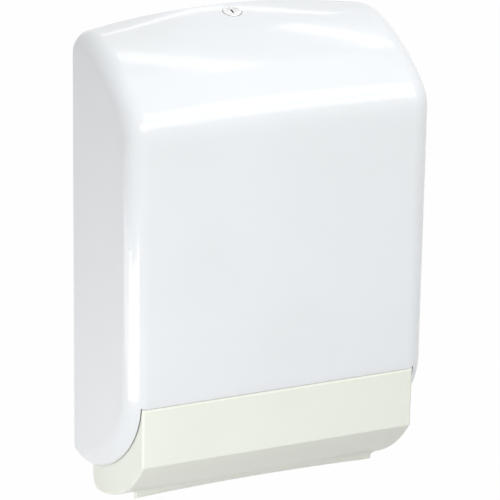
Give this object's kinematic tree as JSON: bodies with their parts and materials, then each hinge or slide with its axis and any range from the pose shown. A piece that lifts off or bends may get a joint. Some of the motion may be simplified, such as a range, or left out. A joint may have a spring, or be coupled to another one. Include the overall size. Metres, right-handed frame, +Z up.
{
  "type": "paper towel dispenser",
  "caption": "Wall-hung folded paper towel dispenser: glossy hinged cover with a domed sloping top and a cam lock, over an ivory tray with an arched pull-out throat.",
  "frame": {"origin": "centre of the wall screw pattern, on the rear face that lies against the wall", "axes": "+X to the right seen from the front, +Y into the wall, +Z up"},
  "size_m": [0.275, 0.126, 0.4179],
  "materials": {
    "cover_gloss": "gloss",
    "tray_ivory": "satin",
    "plate_ivory": "satin",
    "guide_grey": "satin",
    "bush_white": "satin",
    "lock_chrome": "polished",
    "zinc_steel": "satin",
    "screw_steel": "satin",
    "pad_rubber": "matte"
  },
  "bodies": {
    "wall_unit": {"back_plate": "plate_ivory", "tray": "tray_ivory", "keeper": "zinc_steel", "tray_screw_1": "screw_steel", "tray_screw_2": "screw_steel", "tray_screw_3": "screw_steel", "tray_screw_4": "screw_steel", "keeper_screw_1": "screw_steel", "keeper_screw_2": "screw_steel", "towel_guide_left": "guide_grey", "towel_guide_right": "guide_grey", "hinge_pin_left": "screw_steel", "hinge_pin_right": "screw_steel", "bumper_left": "pad_rubber", "bumper_right": "pad_rubber"},
    "cover_unit": {"cover": "cover_gloss", "hinge_bush_left": "bush_white", "hinge_bush_right": "bush_white", "lock_bezel": "lock_chrome", "lock_barrel": "lock_chrome", "lock_washer": "zinc_steel", "lock_nut": "zinc_steel"},
    "lock_core": {"lock_plug": "lock_chrome", "lock_cam": "zinc_steel", "cam_washer": "zinc_steel", "cam_screw": "screw_steel"}
  },
  "joints": [
    {"name": "cover_hinge", "type": "hinge", "parent": "wall_unit", "child": "cover_unit", "pos_m": [0, -0.012, -0.231], "axis": [1, 0, 0], "range_deg": [0, 95]},
    {"name": "lock_turn", "type": "hinge", "parent": "cover_unit", "child": "lock_core", "pos_m": [0, -0.017, 0.152], "axis": [0, 0.225, -0.9744], "range_deg": [0, 90]}
  ]
}
